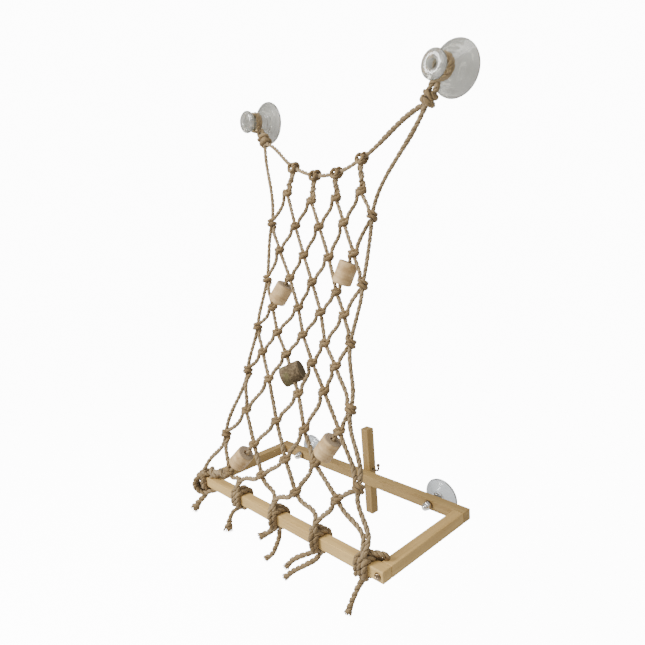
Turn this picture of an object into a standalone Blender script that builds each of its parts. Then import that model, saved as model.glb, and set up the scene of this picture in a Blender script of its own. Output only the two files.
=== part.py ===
"""Cargo climbing net for a small-pet tank, as separate pieces.

A knotted jute net leans from the front rail of a level wooden frame up to two
clear suction cups.  Two more cups hold the frame's rear rail to the same wall.
A swivelling brace behind the rear rail steadies the frame against that wall.

Frame of reference: +Z up, the wall is the plane Y = 0, the object stands at
Y < 0, X = 0 is the middle of the frame and Z = 0 is the rails' centre line.
All sizes below are in millimetres and are turned into metres by MM.
"""

import math

import bmesh
import bpy
from mathutils import Matrix, Vector

MM = 0.001
GAP = 0.3
CUT_PAST = 1.0  # how far a drill runs past the face it enters

# Wooden frame
SECTION = 10.0
HALF = SECTION / 2
FRAME_WIDTH = 250.0
FRAME_DEPTH = 116.0
REAR_FACE_Y = -10.0
FRONT_FACE_Y = REAR_FACE_Y - FRAME_DEPTH
FRONT_AXIS_Y = FRONT_FACE_Y + HALF
REAR_RAIL_FRONT_Y = REAR_FACE_Y - SECTION
SIDE_RAIL_X = FRAME_WIDTH / 2 - HALF
RAIL_BEVEL = 0.7

# Wood screws: four corners and the brace pivot
SCREW_HEAD_R = 2.8
SCREW_HEAD_H = 2.0
SCREW_R = 1.5
SCREW_TIP = 3.0
SCREW_HOLE_R = SCREW_R + GAP
CORNER_SCREW_LENGTH = 30.0
BRACE_SCREW_LENGTH = 17.0

# Swivelling brace and its ball-ended hook
BRACE_X = 3.0
BRACE_SECTION = 9.6
BRACE_TOP = 48.5
BRACE_BOTTOM = -44.0
BRACE_BEVEL = 1.0
BRACE_AXIS_Y = -BRACE_SECTION / 2
BRACE_HOLE_END_Y = -2.0
HOOK_R = 1.0
HOOK_BALL_R = 1.9
HOOK_Z = 5.0
HOOK_REACH = 7.5
HOOK_RISE = 8.0
HOOK_BEND = 2.0
HOOK_DEPTH = 4.0

# Lower cups, each with a threaded stud, washer and dome nut
LOWER_CUP_X = 88.4
LOWER_CUP_R = 17.0
LOWER_RIM_R = 12.5  # inside this the cup's rear is hollow
STUD_R = 2.0
STUD_HOLE_R = STUD_R + GAP
STUD_END_Y = REAR_RAIL_FRONT_Y - 6.2
STUD_CHAMFER = 0.5
STUD_FLANGE_R = 4.5
STUD_FLANGE_Y = (-6.9, -5.7)
WASHER_R = 4.2
WASHER_T = 0.8
NUT_FLATS = 7.0
NUT_BASE_H = 3.2
NUT_DOME_R = 3.2
NUT_H = 7.6
NUT_SKIRT = 1.0  # how deep the dome starts inside the hexagon

# Upper cups, tied on by their necks
UPPER_CUP_X = 117.5
UPPER_CUP_Z = 366.0
UPPER_CUP_R = 21.8
UPPER_RIM_R = 17.2
NECK_R = 6.5
NECK_Y = -18.0

# Rope and net
ROPE_R = 1.8
KNOT_OFFSET = 2.3
KNOT_REACH = 2.5
NET_FOOT = (-123.5, 11.5)
NET_HEAD = (-18.2, 345.0)
NET_SAG = 3.0
LASHING_X = 104.0
LASHING_Z = 345.0
LASHING_LEG = 22.0
LASHING_SLACK = 0.1
LASHING_STEPS = 14
ROPE_START = 6.0
HEAD_ROPE_STEP = 12.0
STRAND_START = 4.8

# Knots of the net, row by row from the head rope down: (x, z) in the net's surface.
HEAD_KNOTS = [(-50, 312), (-17, 301), (12, 300), (41, 309)]
NET_ROWS = [
    [(-55, 288), (-18, 278), (15, 278), (45, 281)],
    [(-72, 260), (-36, 256), (-2, 254), (29, 256), (60, 260)],
    [(-55, 234), (-18, 229), (16, 227), (46, 230)],
    [(-67, 206), (-33, 208), (-1, 205), (32, 198), (60, 205)],
    [(-53, 180), (-15, 182), (16, 180), (45, 180)],
    [(-71, 160), (-40, 158), (-3, 159), (27, 155), (56, 158)],
    [(-58, 138), (-22, 140), (15, 137), (44, 138)],
    [(-76, 118), (-42, 115), (3, 109), (35, 116), (67, 108)],
    [(-69, 81), (-21, 81), (18, 81), (60, 89)],
    [(-95, 53), (-48, 54), (0, 52), (38, 58), (88, 53)],
    [(-80, 20), (-29, 31), (20, 30), (69, 39)],
]
HITCH_X = [-118, -60, -4, 51, 105]

# Beads: (strand, row above it, row below it), rows counted in NET_ROWS
BEAD_R = 8.75
BEAD_LENGTH = 19.5
BEAD_HOLE_R = 2.4
BEAD_BEVEL = 0.5
LOG_R = 9.6
LOG_LENGTH = 19.5
LOG_BEVEL = 0.8
LOG_TURN = -25.0  # degrees that the log is spun about its strand, out of the net
BEADS = {
    "bead_upper_left": (1, 3, 4),
    "bead_upper_right": (6, 2, 3),
    "bead_bark": (3, 6, 7),
    "bead_lower_left": (1, 9, 10),
    "bead_lower_right": (6, 8, 9),
}

# Hitches on the front rail
HITCH_TURNS = 2
HITCH_PITCH = 4.0
HITCH_HALF = HALF + ROPE_R + 0.35
HITCH_CORNER = 2.65
HITCH_STEPS = 16
HITCH_START = 0.2  # angle of the rope's first point round the rail
CORNER_LOOP_HALF = 15.0  # half-length of the slack loop round the left corner

# Loose tails of the hitches: route points (x, y, z)
TAIL_STEP = 2 * ROPE_R
TAILS = {
    "tail_left_corner": [
        (-121, -124, -11), (-123, -128, -17), (-126.6, -133.6, -23), (-129, -136.6, -28)],
    "tail_1": [(-64, -123.5, -11), (-67.4, -128.6, -14.8), (-69, -132.4, -21.5), (-69.6, -134.8, -30)],
    "tail_2_short": [(-6.8, -123.2, -11.2), (-11, -129, -15), (-15.7, -134.4, -18)],
    "tail_2_long": [
        (-1.6, -122.4, -11), (-1.2, -124.2, -17.6), (-2.6, -127.4, -25.4),
        (-4.6, -130.2, -32), (-10.2, -134.2, -37.6)],
    "tail_3_short": [
        (48, -123.2, -11.2), (43.6, -128, -13.2), (37.6, -132.8, -15.8),
        (32, -137, -20), (27.4, -140.2, -26)],
    "tail_3_long": [
        (53.2, -122, -10.6), (50.4, -126, -16), (43.6, -130.6, -21.6),
        (36, -135, -27), (29.4, -138.8, -32.4), (25.6, -140.6, -36.6)],
    "tail_right_corner": [
        (102.6, -122.6, -11), (100.6, -126.4, -15.6), (98.6, -129.6, -22),
        (96.6, -132.6, -29.4), (94.6, -135, -38)],
}


# ---------------------------------------------------------------- helpers

def clear_scene():
    for obj in list(bpy.data.objects):
        bpy.data.objects.remove(obj)


def make_collection(name):
    collection = bpy.data.collections.new(name)
    bpy.context.scene.collection.children.link(collection)
    return collection


def make_material(name, colour, roughness, metallic=0.0, alpha=1.0):
    material = bpy.data.materials.new(name)
    material.use_nodes = True
    shader = material.node_tree.nodes["Principled BSDF"]
    shader.inputs["Base Color"].default_value = (*colour, 1.0)
    shader.inputs["Roughness"].default_value = roughness
    shader.inputs["Metallic"].default_value = metallic
    shader.inputs["Alpha"].default_value = alpha
    return material


def add_object(name, data, material=None, collection=None):
    obj = bpy.data.objects.new(name, data)
    (collection or PARTS).objects.link(obj)
    if material:
        data.materials.append(material)
    return obj


def make_pivot(name, location):
    """An empty on a joint's axis, to which the moving pieces are parented."""
    pivot = bpy.data.objects.new(name, None)
    PARTS.objects.link(pivot)
    pivot.location = Vector(location) * MM
    return pivot


def hold(obj, pivot):
    obj.parent = pivot
    obj.matrix_parent_inverse = Matrix.Translation(pivot.location).inverted()


def add_bevel(obj, width, segments=2, angle=40):
    bevel = obj.modifiers.new("Bevel", "BEVEL")
    bevel.width = width * MM
    bevel.segments = segments
    bevel.limit_method = "ANGLE"
    bevel.angle_limit = math.radians(angle)


def add_box(name, low, high, material, bevel=RAIL_BEVEL):
    """A squared stick between two corners, with eased edges."""
    low, high = Vector(low) * MM, Vector(high) * MM
    mesh = bpy.data.meshes.new(name)
    bm = bmesh.new()
    bmesh.ops.create_cube(bm, size=1.0)
    bmesh.ops.scale(bm, vec=high - low, verts=bm.verts)
    bm.to_mesh(mesh)
    bm.free()
    obj = add_object(name, mesh, material)
    obj.location = (low + high) / 2
    add_bevel(obj, bevel)
    return obj


def add_cutter(name, axis, start, end, radius, sides=16):
    """A round cutter from start to end, which differ only along axis (0, 1 or 2)."""
    start, end = Vector(start) * MM, Vector(end) * MM
    mesh = bpy.data.meshes.new(name)
    bm = bmesh.new()
    bmesh.ops.create_cone(bm, cap_ends=True, segments=sides, radius1=radius * MM,
                          radius2=radius * MM, depth=(end - start).length)
    quarter = math.pi / 2
    turn = (Matrix.Rotation(quarter, 4, "Y"), Matrix.Rotation(quarter, 4, "X"), Matrix.Identity(4))[axis]
    bmesh.ops.transform(bm, matrix=turn, verts=bm.verts)
    bm.to_mesh(mesh)
    bm.free()
    cutter = add_object(name, mesh, collection=CUTTERS)
    cutter.location = (start + end) / 2
    cutter.hide_render = True
    cutter.display_type = "WIRE"
    return cutter


def cut(obj, cutter):
    boolean = obj.modifiers.new(cutter.name, "BOOLEAN")
    boolean.operation = "DIFFERENCE"
    boolean.object = cutter


def add_turned(name, profile, centre, material, steps=32, direction=1):
    """Spin a (radius, height) profile about the Y axis through centre; height 0 is at centre.

    The profile runs from the front end of the piece, which faces -Y, to its rear end. One whose
    last point is its first makes a ring. direction -1 turns the piece round, to face +Y.
    """
    mesh = bpy.data.meshes.new(name)
    ring = profile[0] == profile[-1]
    points = [(radius * MM, 0.0, height * MM) for radius, height in (profile[:-1] if ring else profile)]
    edges = [(i, (i + 1) % len(points)) for i in range(len(profile) - 1)]
    mesh.from_pydata(points, edges, [])
    obj = add_object(name, mesh, material)
    screw = obj.modifiers.new("Screw", "SCREW")
    screw.steps = steps
    screw.render_steps = steps
    screw.use_merge_vertices = True
    screw.merge_threshold = 0.00001
    screw.use_smooth_shade = True
    obj.location = Vector(centre) * MM
    obj.rotation_euler = (math.pi / 2 * direction, 0.0, 0.0)
    return obj


def add_tube(name, points, radius, material, resolution=1, swell=None):
    """A rope, wire or cord as a bevelled poly curve; swell scales its radius at each point."""
    curve = bpy.data.curves.new(name, "CURVE")
    curve.dimensions = "3D"
    curve.bevel_depth = radius * MM
    curve.bevel_resolution = resolution
    curve.use_fill_caps = True
    spline = curve.splines.new("POLY")
    spline.points.add(len(points) - 1)
    for i, point in enumerate(points):
        spline.points[i].co = (*(Vector(point) * MM), 1.0)
        spline.points[i].radius = swell[i] if swell else 1.0
    return add_object(name, curve, material)


def smooth_route(points, spacing):
    """Even points along a Catmull-Rom curve through a hand-made route."""
    route = [Vector(p) for p in points]
    route = [2 * route[0] - route[1], *route, 2 * route[-1] - route[-2]]
    fine = []
    for a, b, c, d in zip(route, route[1:], route[2:], route[3:]):
        for i in range(12):
            t = i / 12
            fine.append(0.5 * ((2 * b) + (c - a) * t + (2 * a - 5 * b + 4 * c - d) * t ** 2
                               + (3 * b - a - 3 * c + d) * t ** 3))
    fine.append(route[-2])
    total = sum((b - a).length for a, b in zip(fine, fine[1:]))
    count = max(2, round(total / spacing))
    even, walked, target = [fine[0]], 0.0, total / count
    for a, b in zip(fine, fine[1:]):
        step = (b - a).length
        while walked + step >= target and len(even) < count:
            even.append(a.lerp(b, (target - walked) / step))
            target += total / count
        walked += step
    return even + [fine[-1]]


# ---------------------------------------------------------------- net geometry

def net_point(x, z):
    """The point of the net's surface at x and height z: a leaning plane with a little sag."""
    (foot_y, foot_z), (head_y, head_z) = NET_FOOT, NET_HEAD
    t = (z - foot_z) / (head_z - foot_z)
    sag = NET_SAG * 4 * t * (1 - t)
    return Vector((x, foot_y + (head_y - foot_y) * t + sag, z))


def strand_knots(strand):
    """(x, z) of the strand at each row: it keeps to its own side of every knot."""
    rope, side = divmod(strand, 2)
    sign = 1 if side else -1
    knots = [(HEAD_KNOTS[rope][0] + sign * KNOT_OFFSET, HEAD_KNOTS[rope][1])]
    for row in NET_ROWS:
        if len(row) == 4:
            x, z = row[rope]
            knots.append((x + sign * KNOT_OFFSET, z))
        else:
            x, z = row[rope + side]
            knots.append((x - sign * KNOT_OFFSET, z))
    knots.append((HITCH_X[rope + side] - sign * KNOT_OFFSET, NET_FOOT[1]))
    return knots


def strand_path(strand):
    knots = strand_knots(strand)
    x, z = knots[0]
    path = [net_point(x, z - STRAND_START)]
    for x, z in knots[1:-1]:
        path += [net_point(x, z + KNOT_REACH), net_point(x, z - KNOT_REACH)]
    x, z = knots[-1]
    return path + [net_point(x, z + 2 * KNOT_REACH), net_point(x, z)]


def bead_axis(strand, upper_row, lower_row):
    """The two ends of the straight stretch of strand between a bead's knots."""
    knots = strand_knots(strand)
    (x0, z0), (x1, z1) = knots[upper_row + 1], knots[lower_row + 1]
    return net_point(x0, z0 - KNOT_REACH), net_point(x1, z1 + KNOT_REACH)


def along(start, toward, distance):
    return start + (toward - start).normalized() * distance


# ---------------------------------------------------------------- wooden frame

def build_frame():
    half_width = FRAME_WIDTH / 2
    front = add_box("front_rail", (-half_width, FRONT_FACE_Y, -HALF),
                    (half_width, FRONT_FACE_Y + SECTION, HALF), WOOD)
    rear = add_box("rear_rail", (-half_width, REAR_RAIL_FRONT_Y, -HALF),
                   (half_width, REAR_FACE_Y, HALF), WOOD)
    side_front = FRONT_FACE_Y + SECTION + GAP
    side_rear = REAR_RAIL_FRONT_Y - GAP
    hole_end = CORNER_SCREW_LENGTH + CUT_PAST
    for side, name in ((-1, "left"), (1, "right")):
        x = side * SIDE_RAIL_X
        rail = add_box(f"{name}_side_rail", (x - HALF, side_front, -HALF), (x + HALF, side_rear, HALF), WOOD)
        front_hole = add_cutter(f"{name}_front_hole", 1, (x, FRONT_FACE_Y - CUT_PAST, 0),
                                (x, FRONT_FACE_Y + hole_end, 0), SCREW_HOLE_R)
        rear_hole = add_cutter(f"{name}_rear_hole", 1, (x, REAR_FACE_Y - hole_end, 0),
                               (x, REAR_FACE_Y + CUT_PAST, 0), SCREW_HOLE_R)
        cut(rail, front_hole)
        cut(rail, rear_hole)
        cut(front, front_hole)
        cut(rear, rear_hole)
        cut(rear, rear_rail_hole(f"{name}_stud_hole", side * LOWER_CUP_X, STUD_HOLE_R))
    cut(rear, rear_rail_hole("brace_pivot_hole", BRACE_X, SCREW_HOLE_R))


def rear_rail_hole(name, x, radius):
    return add_cutter(name, 1, (x, REAR_RAIL_FRONT_Y - CUT_PAST, 0), (x, REAR_FACE_Y + CUT_PAST, 0), radius)


def add_screw(name, head_face_y, x, length, direction):
    """A round-head wood screw along Y; direction 1 points its tip at +Y."""
    profile = [
        (0, SCREW_HEAD_H), (SCREW_HEAD_R * 0.55, SCREW_HEAD_H * 0.85),
        (SCREW_HEAD_R * 0.9, SCREW_HEAD_H * 0.45), (SCREW_HEAD_R, 0),
        (SCREW_R, 0), (SCREW_R, SCREW_TIP - length), (0, -length)]
    add_turned(name, profile, (x, head_face_y, 0), STEEL, steps=12, direction=direction)


def build_corner_screws():
    for side, name in ((-1, "left"), (1, "right")):
        x = side * SIDE_RAIL_X
        add_screw(f"front_{name}_screw", FRONT_FACE_Y - GAP, x, CORNER_SCREW_LENGTH, 1)
        add_screw(f"rear_{name}_screw", REAR_FACE_Y + GAP, x, CORNER_SCREW_LENGTH, -1)


# ---------------------------------------------------------------- brace

def build_brace():
    pivot = make_pivot("brace_swivel_axis", (BRACE_X, BRACE_AXIS_Y, 0))
    half = BRACE_SECTION / 2
    side_x = BRACE_X + half
    bar = add_box("brace_bar", (BRACE_X - half, -BRACE_SECTION, BRACE_BOTTOM),
                  (side_x, 0, BRACE_TOP), WOOD, BRACE_BEVEL)
    screw_hole = add_cutter("brace_screw_hole", 1, (BRACE_X, -BRACE_SECTION - CUT_PAST, 0),
                            (BRACE_X, BRACE_HOLE_END_Y, 0), SCREW_HOLE_R)
    hook_hole = add_cutter("brace_hook_hole", 0, (side_x - HOOK_DEPTH - GAP, BRACE_AXIS_Y, HOOK_Z),
                           (side_x + CUT_PAST, BRACE_AXIS_Y, HOOK_Z), HOOK_R + GAP, sides=12)
    cut(bar, screw_hole)
    cut(bar, hook_hole)
    hold(bar, pivot)

    elbow_x = side_x + HOOK_REACH
    top = HOOK_Z + HOOK_RISE
    route = [(side_x - HOOK_DEPTH, HOOK_Z)]
    for angle in (-90, -45, 0):
        bend_x = HOOK_BEND * math.cos(math.radians(angle))
        bend_z = HOOK_BEND * math.sin(math.radians(angle))
        route.append((elbow_x - HOOK_BEND + bend_x, HOOK_Z + HOOK_BEND + bend_z))
    route.append((elbow_x, top - 2 * HOOK_BALL_R + HOOK_R / 2))
    swell = [1.0] * len(route)
    for angle in (-50, -20, 10, 40, 70):
        rise = HOOK_BALL_R * math.sin(math.radians(angle))
        route.append((elbow_x, top - HOOK_BALL_R + rise))
        swell.append(HOOK_BALL_R * math.cos(math.radians(angle)) / HOOK_R)
    hook = add_tube("brace_hook", [(x, BRACE_AXIS_Y, z) for x, z in route], HOOK_R, DARK_STEEL, 2, swell)
    hold(hook, pivot)
    add_screw("brace_screw", REAR_RAIL_FRONT_Y - GAP, BRACE_X, BRACE_SCREW_LENGTH, 1)


# ---------------------------------------------------------------- cups

def build_lower_cup(name, x):
    """A pressed-down suction cup whose moulded-in stud is clamped through the rear rail."""
    neck_y = REAR_FACE_Y + GAP
    pocket_front, pocket_rear = STUD_FLANGE_Y[0] - GAP, STUD_FLANGE_Y[1] + GAP
    profile = [
        (0, pocket_rear), (STUD_FLANGE_R + GAP, pocket_rear), (STUD_FLANGE_R + GAP, pocket_front),
        (STUD_HOLE_R, pocket_front), (STUD_HOLE_R, neck_y),
        (6.0, neck_y), (6.6, -8.6), (6.8, -6.6), (9.5, -4.6), (13.2, -2.4), (15.6, -1.4),
        (LOWER_CUP_R, -0.9), (LOWER_CUP_R, 0), (LOWER_RIM_R, 0), (10.0, -1.0), (0, -1.6)]
    add_turned(f"{name}_cup", [(r, -y) for r, y in profile], (x, 0, 0), CLEAR, steps=28)

    stud = [
        (0, STUD_END_Y), (STUD_R - STUD_CHAMFER, STUD_END_Y), (STUD_R, STUD_END_Y + STUD_CHAMFER),
        (STUD_R, STUD_FLANGE_Y[0]), (STUD_FLANGE_R, STUD_FLANGE_Y[0]),
        (STUD_FLANGE_R, STUD_FLANGE_Y[1]), (0, STUD_FLANGE_Y[1])]
    add_turned(f"{name}_cup_stud", [(r, -y) for r, y in stud], (x, 0, 0), STEEL, steps=16)

    washer_rear = REAR_RAIL_FRONT_Y - GAP
    washer_front = washer_rear - WASHER_T
    washer = [
        (STUD_HOLE_R, washer_rear), (STUD_HOLE_R, washer_front), (WASHER_R, washer_front),
        (WASHER_R, washer_rear), (STUD_HOLE_R, washer_rear)]
    add_turned(f"{name}_cup_washer", [(r, -y) for r, y in washer], (x, 0, 0), STEEL, steps=20)
    build_dome_nut(f"{name}_cup_dome_nut", x, washer_front - GAP)


def build_dome_nut(name, x, rear_y):
    """A hexagon with a domed, closed front and a blind hole from the rear."""
    mesh = bpy.data.meshes.new(name)
    bm = bmesh.new()
    hexagon_r = NUT_FLATS / 2 / math.cos(math.pi / 6) * MM
    bmesh.ops.create_cone(bm, cap_ends=True, segments=6, radius1=hexagon_r,
                          radius2=hexagon_r, depth=NUT_BASE_H * MM)
    bmesh.ops.translate(bm, vec=(0, 0, NUT_BASE_H / 2 * MM), verts=bm.verts)
    bmesh.ops.rotate(bm, matrix=Matrix.Rotation(math.pi / 2, 3, "X"), verts=bm.verts)
    bm.to_mesh(mesh)
    bm.free()
    nut = add_object(name, mesh, NICKEL)
    nut.location = Vector((x, rear_y, 0)) * MM

    straight = NUT_H - NUT_DOME_R
    arc = [(NUT_DOME_R * math.sin(math.radians(a)), straight + NUT_DOME_R * math.cos(math.radians(a)))
           for a in (0, 22, 45, 68, 90)]
    skirt = [(NUT_DOME_R, NUT_SKIRT), (0, NUT_SKIRT)]
    dome = add_turned(f"{name}_dome", [*arc, *skirt], (x, rear_y, 0), None, steps=20)
    dome.hide_render = True
    dome.display_type = "WIRE"
    CUTTERS.objects.link(dome)
    PARTS.objects.unlink(dome)
    union = nut.modifiers.new("Dome", "BOOLEAN")
    union.operation = "UNION"
    union.object = dome
    hole_front = STUD_END_Y - GAP
    hole = add_cutter(f"{name}_hole", 1, (x, hole_front, 0), (x, rear_y + CUT_PAST, 0), STUD_HOLE_R, sides=20)
    cut(nut, hole)


def build_upper_cup(name, x):
    """A larger cup with a flared knob; the knob has a blind round hole in its front."""
    knob = [
        (0, -20.0), (3.1, -20.5), (3.5, -30.2), (4.3, -31.0), (8.8, -31.0), (10.5, -30.2),
        (11.2, -28.4), (10.5, -26.2), (8.2, -23.8), (NECK_R, -21.8), (NECK_R, -14.6)]
    bell = [
        (7.6, -12.6), (10.0, -10.4), (13.4, -7.7), (16.6, -4.8), (19.1, -2.7), (UPPER_CUP_R - 0.3, -1.5),
        (UPPER_CUP_R, -0.9), (UPPER_CUP_R, 0), (UPPER_RIM_R, 0), (13.2, -1.4), (6.5, -2.6), (0, -3.0)]
    pivot = make_pivot(f"{name}_turn_axis", (x, NECK_Y, UPPER_CUP_Z))
    cup = add_turned(name, [(r, -y) for r, y in knob + bell], (x, 0, UPPER_CUP_Z), CLEAR, steps=28)
    hold(cup, pivot)


# ---------------------------------------------------------------- rope work

def lashing_knot(side):
    return Vector((side * LASHING_X, NECK_Y, LASHING_Z))


def build_lashing(name, side, pivot):
    """A rope loop round the cup's neck, its two legs meeting at the lashing knot."""
    centre = Vector((side * UPPER_CUP_X, NECK_Y, UPPER_CUP_Z))
    down = (lashing_knot(side) - centre).normalized()
    across = Vector((-down.z, 0, down.x))
    radius = NECK_R + GAP + ROPE_R + LASHING_SLACK
    points = [centre + down * LASHING_LEG + across * KNOT_OFFSET]
    for i in range(LASHING_STEPS + 1):
        angle = math.radians(65 + 230 * i / LASHING_STEPS)
        points.append(centre + radius * (math.cos(angle) * down + math.sin(angle) * across))
    points.append(centre + down * LASHING_LEG - across * KNOT_OFFSET)
    hold(add_tube(name, points, ROPE_R, JUTE), pivot)


def build_border_ropes(pivot):
    """The head rope between the two lashings and the edge rope down each side."""
    head = [net_point(x, z) for x, z in HEAD_KNOTS]
    left, right = lashing_knot(-1), lashing_knot(1)
    points = [along(left, head[0], ROPE_START), *head, along(right, head[-1], ROPE_START)]
    hold(add_tube("head_rope", smooth_route(points, HEAD_ROPE_STEP), ROPE_R, JUTE), pivot)
    for side, name, index in ((-1, "left", 0), (1, "right", -1)):
        knots = [(row[index][0] + side * KNOT_OFFSET, row[index][1]) for row in NET_ROWS if len(row) == 5]
        start = lashing_knot(side)
        points = [along(start, net_point(*knots[0]), ROPE_START)]
        for x, z in knots:
            points += [net_point(x, z + KNOT_REACH), net_point(x, z - KNOT_REACH)]
        foot_x, foot_z = HITCH_X[index] + side * KNOT_OFFSET, NET_FOOT[1]
        points += [net_point(foot_x, foot_z + 2 * KNOT_REACH), net_point(foot_x, foot_z)]
        hold(add_tube(f"{name}_edge_rope", points, ROPE_R, JUTE), pivot)


def build_strands(pivot):
    for strand in range(2 * len(HEAD_KNOTS)):
        hold(add_tube(f"net_strand_{strand + 1}", strand_path(strand), ROPE_R, JUTE), pivot)


def build_beads():
    for name, place in BEADS.items():
        top, bottom = bead_axis(*place)
        if name == "bead_bark":
            build_log_bead(name, top, bottom)
            continue
        half = BEAD_LENGTH / 2
        profile = [
            (BEAD_HOLE_R, half), (BEAD_R - BEAD_BEVEL, half), (BEAD_R, half - BEAD_BEVEL),
            (BEAD_R, BEAD_BEVEL - half), (BEAD_R - BEAD_BEVEL, -half),
            (BEAD_HOLE_R, -half), (BEAD_HOLE_R, half)]
        bead = add_turned(name, profile, (top + bottom) / 2, PALE_WOOD, steps=20)
        bead.rotation_euler = (top - bottom).to_track_quat("Z", "Y").to_euler()


def build_log_bead(name, top, bottom):
    """A short log with its bark on, drilled across, so that it lies square to its strand."""
    centre = (top + bottom) / 2
    strand = (top - bottom).normalized()
    up = (net_point(0, centre.z + 1) - net_point(0, centre.z)).normalized()
    net_front = Vector((1, 0, 0)).cross(up)
    half = LOG_LENGTH / 2
    profile = [
        (0, half), (LOG_R - LOG_BEVEL, half), (LOG_R, half - LOG_BEVEL),
        (LOG_R, LOG_BEVEL - half), (LOG_R - LOG_BEVEL, -half), (0, -half)]
    log = add_turned(name, profile, centre, BARK, steps=24)
    turn = math.radians(LOG_TURN)
    log_axis = strand.cross(net_front) * math.cos(turn) + net_front * math.sin(turn)
    log.rotation_euler = log_axis.to_track_quat("Z", "Y").to_euler()
    reach = Vector((0, 0, LOG_R + CUT_PAST))
    hole = add_cutter(f"{name}_hole", 2, centre - reach, centre + reach, BEAD_HOLE_R)
    hole.rotation_euler = strand.to_track_quat("Z", "Y").to_euler()
    cut(log, hole)


def wrap_offset(angle, half_length=HITCH_HALF):
    """Centre line of the rope round the squared rail, as (reach, height) from the rail's axis.

    The route is a rectangle with rounded corners, read at equal steps of arc length.
    """
    flats = (2 * (half_length - HITCH_CORNER), 2 * (HITCH_HALF - HITCH_CORNER))
    bend = math.pi / 2 * HITCH_CORNER
    walked = (angle / (2 * math.pi) % 1) * 2 * (sum(flats) + 2 * bend)
    quarter = 0
    while walked > flats[quarter % 2] + bend:
        walked -= flats[quarter % 2] + bend
        quarter += 1
    flat, other = flats[quarter % 2], flats[1 - quarter % 2]
    if walked <= flat:
        reach, height = -flat / 2 + walked, other / 2 + HITCH_CORNER
    else:
        turn = (walked - flat) / HITCH_CORNER
        reach = flat / 2 + HITCH_CORNER * math.sin(turn)
        height = other / 2 + HITCH_CORNER * math.cos(turn)
    for _ in range(quarter):
        reach, height = height, -reach
    return reach, height


def build_hitches():
    """The left hitch is a slack loop round the corner joint; the others grip the front rail."""
    count = HITCH_TURNS * HITCH_STEPS
    corner = Vector((-SIDE_RAIL_X, FRONT_AXIS_Y, 0))
    outward, sideways = Vector((-1, -1, 0)).normalized(), Vector((1, -1, 0)).normalized()
    for number, x in enumerate(HITCH_X):
        points = []
        for i in range(count + 1):
            angle = 2 * math.pi * i / HITCH_STEPS + HITCH_START
            shift = HITCH_PITCH * HITCH_TURNS * (i / count - 0.5)
            if number == 0:
                reach, z = wrap_offset(angle, CORNER_LOOP_HALF)
                points.append(corner + outward * reach + sideways * shift + Vector((0, 0, z)))
            else:
                y, z = wrap_offset(angle)
                points.append((x + shift, FRONT_AXIS_Y + y, z))
        add_tube(f"rail_hitch_{number + 1}", points, ROPE_R, JUTE)


def build_tails():
    for name, route in TAILS.items():
        add_tube(name, smooth_route(route, TAIL_STEP), ROPE_R, JUTE, resolution=2)


# ---------------------------------------------------------------- assembly

clear_scene()
PARTS = make_collection("climbing_net")
CUTTERS = make_collection("cutters")
WOOD = make_material("wood", (0.60, 0.45, 0.28), 0.6)
PALE_WOOD = make_material("bead_wood", (0.78, 0.62, 0.42), 0.6)
BARK = make_material("bark_wood", (0.28, 0.22, 0.12), 0.8)
JUTE = make_material("jute", (0.42, 0.31, 0.18), 0.9)
CLEAR = make_material("clear_pvc", (0.80, 0.80, 0.74), 0.1, alpha=0.4)
STEEL = make_material("zinc_steel", (0.60, 0.58, 0.54), 0.35, metallic=1.0)
NICKEL = make_material("nickel", (0.72, 0.70, 0.66), 0.12, metallic=1.0)
DARK_STEEL = make_material("dark_steel", (0.10, 0.08, 0.05), 0.45, metallic=1.0)

build_frame()
build_corner_screws()
build_brace()
for cup_side, cup_name in ((-1, "left"), (1, "right")):
    build_lower_cup(f"lower_{cup_name}", cup_side * LOWER_CUP_X)
    build_upper_cup(f"upper_{cup_name}_cup", cup_side * UPPER_CUP_X)

NET_PIVOT = make_pivot("net_fold_axis", (0, FRONT_AXIS_Y, 0))
for cup_side, cup_name in ((-1, "left"), (1, "right")):
    build_lashing(f"{cup_name}_cup_lashing", cup_side, NET_PIVOT)
build_border_ropes(NET_PIVOT)
build_strands(NET_PIVOT)
build_beads()
build_hitches()
build_tails()
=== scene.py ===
"""Looks of the climbing net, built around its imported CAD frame.

Lengths in the constants and routes are millimetres, and MM turns them into metres. Rope is
modelled as two twisted plies with loose fibres, and each knot as the turns that tie it.
Frame of reference: +Z up, wall at Y = 0, net and frame at Y < 0, X = 0 mid-frame.
"""

import math
import random

import bpy
import numpy as np
from mathutils import Matrix, Vector


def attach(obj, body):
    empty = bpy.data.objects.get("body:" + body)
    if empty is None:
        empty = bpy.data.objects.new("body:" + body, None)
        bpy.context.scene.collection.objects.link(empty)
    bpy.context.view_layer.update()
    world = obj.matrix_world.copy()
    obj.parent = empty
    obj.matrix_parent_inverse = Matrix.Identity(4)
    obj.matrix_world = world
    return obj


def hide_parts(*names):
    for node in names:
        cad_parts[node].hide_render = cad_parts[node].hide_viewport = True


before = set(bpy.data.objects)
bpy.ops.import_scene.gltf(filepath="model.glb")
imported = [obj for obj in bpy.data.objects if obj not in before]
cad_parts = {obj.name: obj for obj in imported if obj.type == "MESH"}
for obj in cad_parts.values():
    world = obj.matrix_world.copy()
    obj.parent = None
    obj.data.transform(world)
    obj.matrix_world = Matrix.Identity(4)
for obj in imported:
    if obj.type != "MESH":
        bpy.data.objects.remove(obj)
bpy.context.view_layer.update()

MM = 0.001
TURN = 2 * math.pi

# Rope
ROPE_R = 1.8
LAY_LENGTH = 10.5
PLY_OFFSET = 0.45
PLY_OUT = 0.60
PLY_SIDE = 0.84
PLY_SIDES = 12
PATH_STEP = 0.8
FIBRES_PER_MM = 0.9
LONGEST_FIBRE = 3.6
BRUSH_FIBRES = 70
PAINTED_SHADE_SHARE = 0.55  # how far a wrap, a tail or a lashing knot is darkened with painted shade, where 1 is the darkening at a knot's middle
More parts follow.
